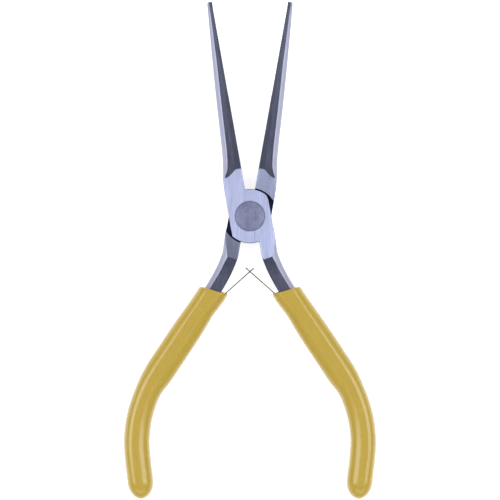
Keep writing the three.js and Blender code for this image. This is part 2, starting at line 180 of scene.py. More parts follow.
def smoothstep(x, low, high):
    t = min(1.0, max(0.0, (x - low) / (high - low)))
    return t * t * (3 - 2 * t)


def down_to(y, start, stop):
    """0 above y = start and 1 below y = stop, smooth between them."""
    return smoothstep(-y, -start, -stop)


def steps(start, stop, count):
    return [lerp(start, stop, k / count) for k in range(count + 1)]


def spline(points, t):
    """The point at t in 0..1 on a uniform Catmull-Rom curve, and the direction there."""
    last = len(points) - 1
    index = min(int(t * last), last - 1)
    u = t * last - index
    p = [Vector(points[min(max(index + k, 0), last)]) for k in (-1, 0, 1, 2)]
    v0, v1 = (p[2] - p[0]) / 2, (p[3] - p[1]) / 2
    a = 2 * p[1] - 2 * p[2] + v0 + v1
    b = -3 * p[1] + 3 * p[2] - 2 * v0 - v1
    return ((a * u + b) * u + v0) * u + p[1], (3 * a * u + 2 * b) * u + v0


def parameter_at(points, axis, value):
    """The curve parameter at which a steadily rising or falling coordinate reaches a value."""
    rising = points[-1][axis] > points[0][axis]
    low, high = 0.0, 1.0
    for _ in range(40):
        middle = (low + high) / 2
        if (spline(points, middle)[0][axis] < value) == rising:
            low = middle
        else:
            high = middle
    return (low + high) / 2


def handle_place(y):
    """The handle's centre at y, and the direction out to its outer side."""
    point, along = spline(HANDLE_LINE, parameter_at(HANDLE_LINE, 1, y))
    along.normalize()
    return point, Vector((-along.y, along.x))


def handle_point(y, across):
    point, outward = handle_place(y)
    return point + outward * across


# ---------------------------------------------------------------- mesh helpers

def new_object(name, mesh):
    made = bpy.data.objects.new(name, mesh)
    bpy.context.scene.collection.objects.link(made)
    return made


def from_bmesh(name, bm):
    bmesh.ops.remove_doubles(bm, verts=bm.verts, dist=1e-4)
    bmesh.ops.recalc_face_normals(bm, faces=bm.faces)
    mesh = bpy.data.meshes.new(name)
    bm.to_mesh(mesh)
    bm.free()
    return new_object(name, mesh)


def loft(name, rings):
    """A closed body skinned over rings of equal length, with a flat cap at each end."""
    bm = bmesh.new()
    rows = [[bm.verts.new(point) for point in ring] for ring in rings]
    count = len(rows[0])
    for low, high in zip(rows, rows[1:]):
        for k in range(count):
            n = (k + 1) % count
            bm.faces.new((low[k], low[n], high[n], high[k]))
    bm.faces.new(reversed(rows[0]))
    bm.faces.new(rows[-1])
    return from_bmesh(name, bm)


def inset(outline, by):
    """An anticlockwise outline moved inwards."""
    count = len(outline)
    points = []
    for k in range(count):
        before = (outline[k] - outline[k - 1]).normalized()
        after = (outline[(k + 1) % count] - outline[k]).normalized()
        inward = Vector((-before.y - after.y, before.x + after.x))
        points.append(outline[k] + inward.normalized() * by / max(0.3, inward.length / 2))
    return points


def prism(name, outline, z0, z1, edge=0.0):
    """An anticlockwise outline given thickness, its top and bottom edges rounded by `edge`."""
    side = [(0.0, 0.0)]
    if edge:
        side = [(edge * (1 - math.cos(turn)), edge * (1 - math.sin(turn))) for turn in EDGE_TURNS]
    levels = [(z0 + down, by) for by, down in reversed(side)] + [(z1 - down, by) for by, down in side]
    rings = []
    for z, by in levels:
        points = inset(outline, by) if by else outline
        rings.append([(point.x, point.y, z) for point in points])
    return loft(name, rings)


def lathe(name, profile, sides):
    """A body turned about Z from (radius, z) pairs that start and end on the axis."""
    bm = bmesh.new()
    rings = []
    for radius, z in profile:
        if radius == 0:
            rings.append([bm.verts.new((0, 0, z))])
            continue
        turns = [2 * math.pi * k / sides for k in range(sides)]
        rings.append([bm.verts.new((radius * math.cos(a), radius * math.sin(a), z)) for a in turns])
    for low, high in zip(rings, rings[1:]):
        for k in range(sides):
            n = (k + 1) % sides
            corners = [low[k % len(low)], low[n % len(low)], high[n % len(high)], high[k % len(high)]]
            bm.faces.new(list(dict.fromkeys(corners)))
    return from_bmesh(name, bm)


def combine(base, other, operation):
    """Joins other to base or cuts it away from base. Other is used up."""
    modifier = base.modifiers.new("boolean", "BOOLEAN")
    modifier.object = other
    modifier.operation = operation
    modifier.solver = "EXACT"
    apply_modifiers(base)
    bpy.data.objects.remove(other)
    return base


def apply_modifiers(obj):
    graph = bpy.context.evaluated_depsgraph_get()
    mesh = bpy.data.meshes.new_from_object(obj.evaluated_get(graph))
    obj.modifiers.clear()
    obj.data = mesh


def finish_piece(obj, name, half_turn, material, angle=35):
    """Swings a lever's piece open, turns it over for the rear half and puts it on the joint, in metres."""
    turn = Matrix.Rotation(math.pi, 4, "Y") if half_turn else Matrix.Identity(4)
    place = Matrix.Translation(PIVOT) @ turn @ Matrix.Rotation(SWING, 4, "Z")
    obj.data.transform(Matrix.Scale(MM, 4) @ place)
    obj.name = name
    obj.data.name = name
    obj.data.materials.clear()
    obj.data.materials.append(material)
    for polygon in obj.data.polygons:
        polygon.use_smooth = True
    obj.data.set_sharp_from_angle(angle=math.radians(angle))
    weigh = obj.modifiers.new("normals", "WEIGHTED_NORMAL")
    weigh.keep_sharp = True
    weigh.weight = 100
    apply_modifiers(obj)
    return obj


# ---------------------------------------------------------------- lever

def side_profile(half, rounding, limit, arc=8):
    """(inset, up) pairs from a bar's side up to its face.

    The corner is an ellipse `rounding` wide and tall. A cheek at `limit` cuts it off with a broken edge.
    """
    wide, tall = [max(size, 1e-3) for size in rounding]
    foot = half - tall
    top = min(half, limit)
    shoulder = min(half, limit - EDGE)
    reach = math.asin(min(1.0, max(0.0, (shoulder - foot) / tall)))

    def corner_inset(up):
        rise = min(1.0, max(0.0, (up - foot) / tall))
        return wide * (1 - math.sqrt(1 - rise * rise))

    ups = [min(shoulder, foot + tall * math.sin(reach * k / arc)) for k in range(arc + 1)]
    points = [(corner_inset(up), up) for up in ups]
    for turn in EDGE_TURNS[1:]:
        up = shoulder + (top - shoulder) * math.sin(turn)
        points.append((corner_inset(up) + (top - shoulder) * (1 - math.cos(turn)), up))
    return points


def section(inner, outer, half, inner_round, outer_round, crown=0.0, limit=JOINT_HALF, flat=10):
    """One ring of a bar as (across, up) pairs, cut off by cheeks at `limit`.

    Its faces fall by `crown` at the outer side.
    """
    inside = [(inner + by, up) for by, up in side_profile(half, inner_round, limit)]
    outside = [(outer - by, up) for by, up in side_profile(half - crown, outer_round, limit)]
    upper = inside
    for t in steps(0, 1, flat)[1:-1]:
        fall = crown * smoothstep(t, CROWN_LEVEL, 1)
        upper = upper + [(lerp(inside[-1][0], outside[-1][0], t), min(half - fall, limit))]
    upper = upper + outside[::-1]
    return [(across, -up) for across, up in upper] + upper[::-1]


def jaw():
    """The tapering jaw with its rounded back and broken edges along the gripping face."""
    fine_to = JAW_CORNER_TO + 4  # the rings stand close together where the corners grow
    ys = steps(JAW_FOOT_Y, JAW_CORNER_FROM, 4)
    ys += steps(JAW_CORNER_FROM, fine_to, 40)[1:]
    ys += steps(fine_to, JAW_TIP_Y - TIP_ROUND, 60)[1:]
    ys += [JAW_TIP_Y - TIP_ROUND * (1 - math.sin(turn)) for turn in steps(0, math.pi / 2, 6)[1:]]
    rings = []
    for y in ys:
        short = max(0.0, 1 - (JAW_TIP_Y - y) / TIP_ROUND)
        shrink = 1 - math.sqrt(max(0.0, 1 - short * short))
        half = JAW_TIP_HALF + JAW_TAPER * (JAW_TIP_Y - y) - TIP_IN_SIDES * shrink
        inner = -JAW_FACE_X + TIP_IN_FACE * shrink
        outer = spline(JAW_BACK, parameter_at(JAW_BACK, 0, y))[0].y - TIP_IN_BACK * shrink
        rounding = smoothstep(y, JAW_CORNER_FROM, JAW_CORNER_TO)
        corner = min(JAW_CORNER, JAW_CORNER_SHARE * outer)
        outer_round = (corner * rounding, JAW_CORNER_TALL * half * rounding)
        crown = JAW_CROWN * (outer - corner) * smoothstep(y, JAW_CROWN_FROM, JAW_CROWN_TO)
        ring = section(inner, outer, half, (EDGE, EDGE), outer_round, crown)
        rings.append([(-across, y, up) for across, up in ring])
    return loft("jaw", rings)


def tang_point(y):
    """How far each side of the tang is drawn in toward its end."""
    return TANG_POINT * down_to(y, TANG_POINT_FROM_Y, TANG_END_Y)


def tang():
    """The handle's steel from the joint to its end inside the grip."""
    top_y = HANDLE_LINE[0][1]
    fine_to = TANG_SLIM_TO_Y - 6  # the rings stand close together down to the mouth of the grip
    ys = steps(top_y, TANG_SLIM_FROM_Y, 8)
    ys += steps(TANG_SLIM_FROM_Y, fine_to, 72)[1:]
    ys += steps(fine_to, TANG_END_Y, 60)[1:]
    rings = []
    for y in ys:
        slimming = down_to(y, TANG_SLIM_FROM_Y, TANG_SLIM_TO_Y)
        half = lerp(JOINT_HALF + TANG_RISE, TANG_HALF, slimming)
        corner = lerp(EDGE, TANG_ROUND, slimming)
        flank = down_to(y, TANG_FLANK_FROM_Y, TANG_FLANK_TO_Y)
        flank_loss = TANG_FLANK_LOSS * down_to(y, TANG_FLANK_TO_Y, TANG_FLANK_LOSS_TO_Y)
        flank_round = (lerp(EDGE, TANG_FLANK_WIDE, flank) - flank_loss, lerp(EDGE, TANG_FLANK_TALL, flank))
        neck = TANG_NECK * down_to(y, TANG_NECK_FROM_Y, TANG_NECK_Y)
        neck *= 1 - down_to(y, TANG_NECK_Y, TANG_NECK_TO_Y)
        width = TANG_HALF_WIDTH + neck - tang_point(y)
        point, outward = handle_place(y)
        ring = section(-width, width, half, (corner, corner), flank_round)
        rings.append([(point.x + outward.x * a, point.y + outward.y * a, up) for a, up in ring])
    return loft("tang", rings)


def arc_points(radius, start, stop, count):
    return [Vector((radius * math.cos(a), radius * math.sin(a))) for a in steps(start, stop, count)]


def lap_plate():
    """The lap before half of it is cut away: a disc with flattened sides, its edges broken."""
    flat_turn = math.acos(JOINT_SIDE / LAP_RADIUS)
    shoulder_turn = math.acos(LAP_CORNER_X / LAP_RADIUS)
    start = Vector((JOINT_SIDE, LAP_BEND_FROM_Y))
    bend = Vector((JOINT_SIDE - LAP_BEND_IN, LAP_BEND_Y))
    outline = [Vector((-JOINT_SIDE, LAP_JAW_Y))]
    outline += arc_points(LAP_RADIUS, math.pi + flat_turn, 2 * math.pi - flat_turn, 60)
    shoulder = arc_points(LAP_RADIUS, shoulder_turn, math.pi / 2, 24)
    outline += [start.lerp(bend, t).lerp(bend.lerp(shoulder[0], t), t) for t in steps(0, 1, 6)]
    outline += shoulder[1:]
    return prism("lap", outline, -JOINT_HALF, JOINT_HALF, LAP_EDGE)


def teeth():
    """Shallow V grooves across the gripping face."""
    count = round((TEETH_TO - TEETH_FROM) / TEETH_PITCH)
    beyond = 1
    outline = [Vector((beyond, TEETH_FROM)), Vector((beyond, TEETH_TO))]
    for y in steps(TEETH_TO, TEETH_FROM, count)[:-1]:
        outline.append(Vector((JAW_FACE_X, y)))
        outline.append(Vector((JAW_FACE_X - TEETH_DEPTH, y - TEETH_PITCH / 2)))
    outline.append(Vector((JAW_FACE_X, TEETH_FROM)))
    return prism("teeth", outline, -JOINT_HALF - beyond, JOINT_HALF + beyond)


def flared(radius, edge):
    """(radius, z) pairs up the wall of a hole or pocket, where it leaves a cheek with a broken edge."""
    wall = [(radius + edge * (1 - math.cos(a)), JOINT_HALF - edge * (1 - math.sin(a))) for a in EDGE_TURNS]
    return wall + [(radius + edge, JOINT_HALF + 1)]


def lap_pocket():
    """What is cut away for the other lever's lap, up to the lap's plane."""
    wall = [(radius, -z) for radius, z in reversed(flared(SHOULDER_RADIUS, EDGE))]
    floor = [(SHOULDER_RADIUS, LAP_GAP / 2), (0, LAP_GAP / 2)]
    return lathe("pocket", [(0, wall[0][1])] + wall + floor, 192)


def rivet_hole():
    """The stepped hole for the pivot rivet."""
    upper = [
        (RIVET_SHANK + RIVET_CLEARANCE, JOINT_HALF - RIVET_RIM - RIVET_CONE),
        (RIVET_FACE + RIVET_CLEARANCE, JOINT_HALF - RIVET_RIM),
    ]
    upper += flared(RIVET_FACE + RIVET_CLEARANCE, RIVET_SOFT)
    upper += [(0, upper[-1][1])]
    return lathe("hole", [(radius, -z) for radius, z in reversed(upper)] + upper, 128)


def lever():
    """A forged lever, ground flat on both cheeks, with half its thickness cut away for the other's lap."""
    made = combine(jaw(), teeth(), "DIFFERENCE")
    made = combine(made, lap_plate(), "UNION")
    made = combine(made, tang(), "UNION")
    made = combine(made, lap_pocket(), "DIFFERENCE")
    made = combine(made, rivet_hole(), "DIFFERENCE")
    return combine(made, leaf_rivet(LEAF_RIVET_FIT), "DIFFERENCE")


# ---------------------------------------------------------------- pivot rivet

def pivot_rivet():
    """The headed rivet, ground flush, with a softened rim and a small centre mark in each face."""
    mark = [(0.3, 0.0), (0.22, 0.01), (0.12, 0.045), (0.0, 0.05)]
    upper = [(RIVET_SHANK, JOINT_HALF - RIVET_RIM - RIVET_CONE), (RIVET_FACE, JOINT_HALF - RIVET_RIM)]
    for turn in EDGE_TURNS:
        radius = RIVET_FACE - RIVET_SOFT * (1 - math.cos(turn))
        upper += [(radius, JOINT_HALF - RIVET_SOFT * (1 - math.sin(turn)))]
    upper += [(radius, JOINT_HALF - depth) for radius, depth in mark]
    return lathe("rivet", [(radius, -z) for radius, z in reversed(upper)] + upper, 128)


# ---------------------------------------------------------------- leaf springs

def leaf_path(reach):
    """The leaf's middle line from its free end to its tail, finely stepped for bending."""
    toward = (LEAF_CROSSING - LEAF_PIVOT).normalized()
    free = LEAF_CROSSING + toward * reach
    offset = -(TANG_HALF_WIDTH + LEAF_LIFT + LEAF_THICKNESS / 2)
    foot, heel = handle_point(LEAF_FOOT_Y, offset), handle_point(LEAF_HEEL_Y, offset)
    points = [free.lerp(LEAF_PIVOT, t) for t in steps(0, 1, 48)]
    points += [LEAF_PIVOT.lerp(foot, t).lerp(foot.lerp(heel, t), t) for t in steps(0, 1, 16)[1:]]
    points += [handle_point(y, offset) for y in steps(LEAF_HEEL_Y, LEAF_TAIL_Y, 10)[1:]]
    return points


def leaf_strip(reach):
    """The bent strip with softened long edges."""
    thin, wide = LEAF_THICKNESS / 2, LEAF_HALF_WIDTH
    quarter = [(thin, wide - LEAF_SOFT), (thin - LEAF_SOFT, wide)]
    upper = quarter + [(-across, up) for across, up in reversed(quarter)]
    ring = [(-across, -up) for across, up in upper] + upper
    points = leaf_path(reach)
    rings = []
    for k, point in enumerate(points):
        along = (points[min(k + 1, len(points) - 1)] - points[max(k - 1, 0)]).normalized()
        side = Vector((-along.y, along.x))
        rings.append([(point.x + side.x * a, point.y + side.y * a, u) for a, u in ring])
    return loft("leaf", rings)


def leaf_block(start, stop, low, high):
    """A block across the leaf near the crossing, for cutting its end to shape."""
    toward = (LEAF_CROSSING - LEAF_PIVOT).normalized()
    side = Vector((-toward.y, toward.x)) * LEAF_CUT_HALF
    ends = [LEAF_CROSSING + toward * start, LEAF_CROSSING + toward * stop]
    outline = [ends[0] - side, ends[1] - side, ends[1] + side, ends[0] + side]
    return prism("block", outline, low, high)


def tongue_leaf():
    """The leaf whose narrow neck and wider head pass through the other's window."""
    made = leaf_strip(TONGUE_REACH)
    edge = LEAF_HALF_WIDTH + 1
    for side in (-1, 1):
        for start, stop, half in [(NECK_FROM, NECK_TO, NECK_HALF), (NECK_TO, TONGUE_REACH + 1, HEAD_HALF)]:
            low, high = sorted((side * half, side * edge))
            made = combine(made, leaf_block(start, stop, low, high), "DIFFERENCE")
    return combine(made, leaf_rivet(LEAF_RIVET_FIT), "DIFFERENCE")


def window_leaf():
    """The leaf with a window near its end."""
    window = leaf_block(WINDOW_FROM, WINDOW_TO, -WINDOW_HALF, WINDOW_HALF)
    made = combine(leaf_strip(WINDOW_REACH), window, "DIFFERENCE")
    return combine(made, leaf_rivet(LEAF_RIVET_FIT), "DIFFERENCE")


def leaf_rivet(clearance=0.0):
    """The small domed rivet through the leaf's tail."""
    tail = TANG_HALF_WIDTH + 2 * LEAF_LIFT + LEAF_THICKNESS
    bottom = tail - LEAF_RIVET_DEPTH - clearance
    shank = LEAF_RIVET_SHANK + clearance
    rim = tail + LEAF_RIVET_RIM
    dome = LEAF_RIVET_DOME - LEAF_RIVET_RIM
    profile = [(0, bottom), (shank, bottom), (shank, tail), (LEAF_RIVET_HEAD, tail)]
    for turn in steps(0, math.pi / 2, 6)[:-1]:
        profile.append((LEAF_RIVET_HEAD * math.cos(turn), rim + dome * math.sin(turn)))
    profile.append((0, tail + LEAF_RIVET_DOME))
    made = lathe("leaf_rivet", profile, 40)
    point, outward = handle_place(LEAF_RIVET_Y)
    turn = Vector((0, 0, 1)).rotation_difference(Vector((-outward.x, -outward.y, 0)))
    made.data.transform(Matrix.Translation((point.x, point.y, 0)) @ turn.to_matrix().to_4x4())
    return made


# ---------------------------------------------------------------- grip

def grip_half_width(y):
    swell = down_to(y, GRIP_SWELL_FROM_Y, GRIP_SWELL_TO_Y)
    swell -= GRIP_WAIST * down_to(y, GRIP_WAIST_FROM_Y, GRIP_WAIST_TO_Y)
    return GRIP_HALF_WIDTH + GRIP_SWELL * swell


def grip_flare(y):
    return GRIP_FLARE * (1 - down_to(y, GRIP_FLARE_FROM_Y, GRIP_FLARE_TO_Y))


def mouth():
    """Where the slanting mouth crosses the handle's centre line, and its slope against a square cut."""
    along = (MOUTH_OUTER - MOUTH_INNER).normalized()
    low, high = -30.0, -18.0
    for _ in range(40):
        y = (low + high) / 2
        if along.cross(handle_place(y)[0] - MOUTH_INNER) > 0:
            high = y
        else:
            low = y
    return y, math.tan(math.acos(min(1.0, along.dot(handle_place(y)[1]))))


def grip_ring(y, inner, outer, half, slant, corner=None):
    """A ring of the sleeve: its outer side stands further down the handle by the slant."""
    inner_share = lerp(GRIP_ROUND_MOUTH, GRIP_ROUND_INNER, down_to(y, GRIP_ROUND_FROM_Y, GRIP_ROUND_TO_Y))
    inner_round = corner or (inner_share * outer, GRIP_ROUND_UP * half)
    outer_round = corner or (GRIP_ROUND_OUTER * outer, GRIP_ROUND_UP * half)
    ring = section(inner, outer, half, inner_round, outer_round, limit=GRIP_HALF + 1, flat=5)
    placed = []
    for across, up in ring:
        point, outward = handle_place(y - across * slant * handle_place(y)[1].x)
        placed.append((point.x + outward.x * across, point.y + outward.y * across, up))
    return placed


def sleeve_rings():
    """Rings of the sleeve's outside from its domed end up to its slanting mouth."""
    top, slant = mouth()
    dome_from = GRIP_END_Y + GRIP_DOME
    dome_turns = steps(0, math.pi / 2 * GRIP_DOME_SHARE, 14)[:0:-1]
    ys = [dome_from - GRIP_DOME * math.sin(turn) for turn in dome_turns]
    ys += steps(dome_from, GRIP_SLANT_TO_Y, 70)
    ys += steps(GRIP_SLANT_TO_Y, top, 24)[1:]
    rings = []
    for y in ys:
        past = max(0.0, (dome_from - y) / GRIP_DOME)
        shrink = math.sqrt(max(0.0, 1 - past * past))
        width = grip_half_width(y) * shrink
        half = GRIP_HALF * lerp(GRIP_DOME_THIN, 1, shrink)
        share = smoothstep(y, GRIP_SLANT_TO_Y, top)
        rings.append(grip_ring(y, -width - grip_flare(y), width, half, slant * share))
    return rings


def lip_rings():
    """Rings over the mouth's rounded edge and a little way in."""
    top, slant = mouth()
    width = grip_half_width(top)
    rings = []
    for turn in steps(0, math.pi / 2, 5)[1:]:
        shrink = GRIP_LIP * (1 - math.cos(turn))
        y = top + GRIP_LIP * math.sin(turn)
        outer = width - shrink
        rings.append(grip_ring(y, -outer - grip_flare(top), outer, GRIP_HALF - shrink, slant))
    for y, ease in [(top + GRIP_LIP, HOLLOW_EASE), (top + GRIP_LIP - HOLLOW_EASE_DEPTH, 0)]:
        wide = TANG_HALF_WIDTH + GRIP_FIT + ease
        half = TANG_HALF + GRIP_FIT + ease
        rings.append(grip_ring(y, -wide, wide, half, slant, HOLLOW_MOUTH_CORNER))
    return rings


def hollow_rings():
    """Rings of the sleeve's inside, round the tang, from the mouth down to the tang's end."""
    top, slant = mouth()
    rings = []
    for y in steps(top - HOLLOW_CORNER_DEPTH, TANG_END_Y - GRIP_FIT, 40):
        wide = TANG_HALF_WIDTH + GRIP_FIT - tang_point(y)
        share = smoothstep(y, GRIP_SLANT_TO_Y, top)
        rings.append(grip_ring(y, -wide, wide, TANG_HALF + GRIP_FIT, slant * share, HOLLOW_CORNER))
    return rings


def leaf_channel():
    """The channel in the grip where the leaf's tail and its rivet lie on the tang, open at the mouth."""
    ys = steps(CHANNEL_TOP_Y, CHANNEL_END_Y, 24)
    tang_side = [handle_point(y, -TANG_HALF_WIDTH + CHANNEL_OVERLAP) for y in ys]
    grip_side = []
    for y in ys:
        slope = down_to(y, CHANNEL_SLOPE_FROM_Y, CHANNEL_SLOPE_TO_Y)
        depth = lerp(CHANNEL_MOUTH_DEPTH, CHANNEL_DEPTH, slope)
        grip_side.append(handle_point(y, -TANG_HALF_WIDTH - depth))
    return prism("channel", grip_side + tang_side[::-1], -CHANNEL_HALF, CHANNEL_HALF)


def grip():
    """The hollow vinyl sleeve, closed at its domed end and open at its mouth."""
    sleeve = loft("grip", sleeve_rings() + lip_rings() + hollow_rings())
    return combine(sleeve, leaf_channel(), "DIFFERENCE")


# ---------------------------------------------------------------- materials

class Shader:
    """A material's node tree, built by short calls that each return the socket they make."""

    def __init__(self, name, roughness, metallic):
        self.material = bpy.data.materials.new(name)
        self.material.use_nodes = True
        self.tree = self.material.node_tree
        self.surface = self.tree.nodes["Principled BSDF"]
        self.surface.inputs["Roughness"].default_value = roughness
        self.surface.inputs["Metallic"].default_value = metallic
        coordinates = self.tree.nodes.new("ShaderNodeTexCoord")
        self.place = coordinates.outputs["Object"]
        self.normal = coordinates.outputs["Normal"]

    def node(self, kind, inputs, output=0, **settings):
        made = self.tree.nodes.new(kind)
        for key, value in settings.items():
            setattr(made, key, value)
        for key, value in inputs.items():
            if isinstance(value, bpy.types.NodeSocket):
                self.tree.links.new(value, made.inputs[key])
            else:
                made.inputs[key].default_value = value
        return made.outputs[output]

    def axis(self, vector, letter):
        return self.node("ShaderNodeSeparateXYZ", {0: vector}, letter)

    def math(self, operation, a, b=0.0):
        return self.node("ShaderNodeMath", {0: a, 1: b}, operation=operation)

    def ramp(self, value, low, high, to_low=0.0, to_high=1.0):
        inputs = {0: value, 1: low, 2: high, 3: to_low, 4: to_high}
        return self.node("ShaderNodeMapRange", inputs, clamp=True)

    def mix(self, share, a, b):
        """Colour a where share is 0, and b where it is 1."""
        return self.node("ShaderNodeMix", {0: share, 6: a, 7: b}, 2, data_type="RGBA")

    def tint(self, color, value):
        """A colour made brighter or darker by a number."""
        return self.node("ShaderNodeVectorMath", {0: color, "Scale": value}, operation="SCALE")

    def noise(self, per_mm, detail=2.0, turn=0.0, offset=0.0):
        """Noise with so many waves per millimetre along X, Y and Z, its grain turned about Z."""
        size = [count / MM for count in per_mm]
        turned = self.node("ShaderNodeMapping", {"Vector": self.place, "Rotation": (0, 0, -turn)})
        moved = {"Vector": turned, "Location": (offset,) * 3, "Scale": size}
        place = self.node("ShaderNodeMapping", moved)
        return self.node("ShaderNodeTexNoise", {"Vector": place, "Scale": 1.0, "Detail": detail})

    def bump(self, height, depth_mm, under=None):
        inputs = {"Height": height, "Strength": 1.0, "Distance": depth_mm * MM}
        if under is not None:
            inputs["Normal"] = under
        return self.node("ShaderNodeBump", inputs)

    def finish(self, color, roughness, normal):
        self.tree.links.new(color, self.surface.inputs["Base Color"])
        self.tree.links.new(roughness, self.surface.inputs["Roughness"])
        self.tree.links.new(normal, self.surface.inputs["Normal"])
        return self.material


def rgb(red, green, blue):
    return (red, green, blue, 1.0)


def cheek_steel(steel, from_pivot, long, cloud, fine, painted_cheek_shade):
    """Brightly ground steel with long streaks, with painted shade along the lever and round the rivet."""
    coarse = steel.noise((0.9, 0.035, 0.9), 3.0)
    coarse_streaks = steel.ramp(coarse, 0.3, 0.7, -0.11, 0.11)
    fine_streaks = steel.ramp(fine, 0.3, 0.7, -0.08, 0.08)
    streaks = steel.math("ADD", coarse_streaks, fine_streaks)
    bright = steel.math("ADD", streaks, steel.ramp(cloud, 0.3, 0.7, 0.95, 1.05))
    # Painted shade: the cheeks darken along the lever, much more on the rear lever.
    bright = steel.math("MULTIPLY", bright, steel.ramp(long, -10 * MM, 10 * MM, *painted_cheek_shade))
    rivet_edge = RIVET_FACE * MM
    # Painted shade: a darker band on the cheek just round the rivet's edge.
    ring = steel.ramp(from_pivot, rivet_edge + 0.15 * MM, rivet_edge + 0.45 * MM, 0.6, 1.0)
    bright = steel.math("MULTIPLY", bright, ring)
    return steel.tint(steel.mix(cloud, rgb(0.36, 0.41, 0.60), rgb(0.40, 0.42, 0.62)), bright)


def facet_painted_reflection(steel, long, grain_turn):
    """Grain-streaked steel in painted dark reflection, with painted light toward the jaw's tip and down
    the handle.
    """
    grain = steel.noise((3.2, 0.09, 3.2), 3.0, grain_turn, 3)
    tone = steel.noise((0.5, 0.05, 0.5), 2.0, grain_turn, 5)
    # Painted light: the facets lighten toward the jaw's tip and down the handle.
    painted_light_toward_tip = steel.ramp(long, 15 * MM, 55 * MM, 0.79, 1.15)
    painted_light_down_handle = steel.ramp(long, -12 * MM, -18 * MM, 1, 1.28)
    lighter = steel.math("MULTIPLY", painted_light_toward_tip, painted_light_down_handle)
    streaks = steel.math("MULTIPLY", steel.ramp(grain, 0.3, 0.7, 0.78, 1.22), lighter)
    # Painted dark reflection: the facets' dark tone stands in for the dark surroundings that they reflect.
    return steel.tint(steel.mix(tone, rgb(0.079, 0.081, 0.104), rgb(0.07, 0.079, 0.136)), streaks)


def flank_painted_sheen(steel, long, fine):
    """Painted sheen: lighter steel for the rounded flanks' highlight, a little duller down the handle."""
    painted_sheen = steel.mix(fine, rgb(0.33, 0.34, 0.45), rgb(0.38, 0.39, 0.51))
    return steel.tint(painted_sheen, steel.ramp(long, -8 * MM, -16 * MM, 1, 0.9))


def lap_edge_painted_shade(steel, from_pivot):
    """1 on the lap's outline that is darkened by painted shade: its edge, and the shoulder that the other
    lever turns against.
    """
    lap_edge, shoulder, side = (LAP_RADIUS - LAP_EDGE) * MM, SHOULDER_RADIUS * MM, JOINT_SIDE * MM
    past_lap = steel.ramp(from_pivot, lap_edge, lap_edge + 0.05 * MM)
    short_of_shoulder = steel.ramp(from_pivot, shoulder + 0.2 * MM, shoulder + 0.1 * MM)
    sideways = steel.math("ABSOLUTE", steel.axis(steel.place, "X"))
    short_of_side = steel.ramp(sideways, side - 0.4 * MM, side - 0.5 * MM)
    return steel.math("MULTIPLY", steel.math("MULTIPLY", past_lap, short_of_shoulder), short_of_side)


def forged_steel(name, handle_side, painted_cheek_shade):
    """Bright cheeks, flanks in a painted sheen, facets in a painted dark reflection, and lap faces in
    painted shade.

    handle_side is 1 where the lever's handle is on the +X side, else -1. painted_cheek_shade is the
    painted shade
    on the cheeks: how bright they are at y = -10 mm and at y = 10 mm.
    """
    steel = Shader(name, 0.3, 1.0)
    height = steel.math("ABSOLUTE", steel.math("SUBTRACT", steel.axis(steel.place, "Z"), PIVOT.z * MM))
    facing = steel.math("ABSOLUTE", steel.axis(steel.normal, "Z"))
    long = steel.axis(steel.place, "Y")
    # The outer side is the handle's side below the pivot, and the other side above it.
    outer_side = steel.ramp(long, -1 * MM, 1 * MM, handle_side, -handle_side)
    outward = steel.math("MULTIPLY", steel.axis(steel.normal, "X"), outer_side)
    flattened = {0: steel.place, 1: (1.0, 1.0, 0.0)}
    flat_place = steel.node("ShaderNodeVectorMath", flattened, operation="MULTIPLY")
    from_pivot = steel.node("ShaderNodeVectorMath", {0: flat_place}, "Value", operation="LENGTH")

    cheek = steel.ramp(height, (JOINT_HALF - 0.03) * MM, (JOINT_HALF - 0.008) * MM)
    # Painted sheen goes on faces tilted outward and on the side walls.
    flank = steel.math("MAXIMUM", steel.ramp(outward, 0.125, 0.155), steel.ramp(facing, 0.35, 0.15))
    # Painted shade goes on the lap faces, which lie hidden between the levers.
    lap = steel.math("MULTIPLY", steel.ramp(height, 1.2 * MM, 0.8 * MM), steel.ramp(facing, 0.9, 0.95))

    fine = steel.noise((5.0, 0.12, 5.0), 3.0)
    cloud = steel.noise((0.12, 0.08, 0.12), 2.0, offset=7)
    painted_facet_reflection = facet_painted_reflection(steel, long, handle_side * SWING)
    color = steel.mix(flank, painted_facet_reflection, flank_painted_sheen(steel, long, fine))
    # Painted shade: the lap's edge is painted nearly black.
    color = steel.mix(lap_edge_painted_shade(steel, from_pivot), color, rgb(0.06, 0.06, 0.10))
    color = steel.mix(cheek, color, cheek_steel(steel, from_pivot, long, cloud, fine, painted_cheek_shade))
    # Painted shade: the lap faces are painted nearly black.
    color = steel.mix(lap, color, rgb(0.013, 0.014, 0.033))

    roughness = steel.ramp(fine, 0.25, 0.75, 0.24, 0.4)
    roughness = steel.math("ADD", roughness, steel.ramp(flank, 0, 1, 0, 0.25))
    grain = steel.bump(fine, 0.004)
    pits = steel.bump(steel.noise((1.6, 1.6, 1.6), 4.0, offset=11), 0.003, grain)
    return steel.finish(color, roughness, pits)


def rivet_steel():
    """The rivet's softer steel: the same grinding marks, more mottled."""
    steel = Shader("rivet_steel", 0.38, 1.0)
    grain = steel.noise((3.5, 0.15, 3.5), 3.0)
    mottle = steel.noise((0.8, 0.7, 0.8), 4.0, offset=2)
    streaks = steel.ramp(grain, 0.3, 0.7, -0.05, 0.05)
    shade = steel.math("ADD", streaks, steel.ramp(mottle, 0.3, 0.7, 0.9, 1.1))
    color = steel.tint(steel.mix(mottle, rgb(0.155, 0.163, 0.265), rgb(0.183, 0.192, 0.293)), shade)
    roughness = steel.ramp(mottle, 0.3, 0.7, 0.32, 0.46)
    return steel.finish(color, roughness, steel.bump(mottle, 0.008, steel.bump(grain, 0.004)))


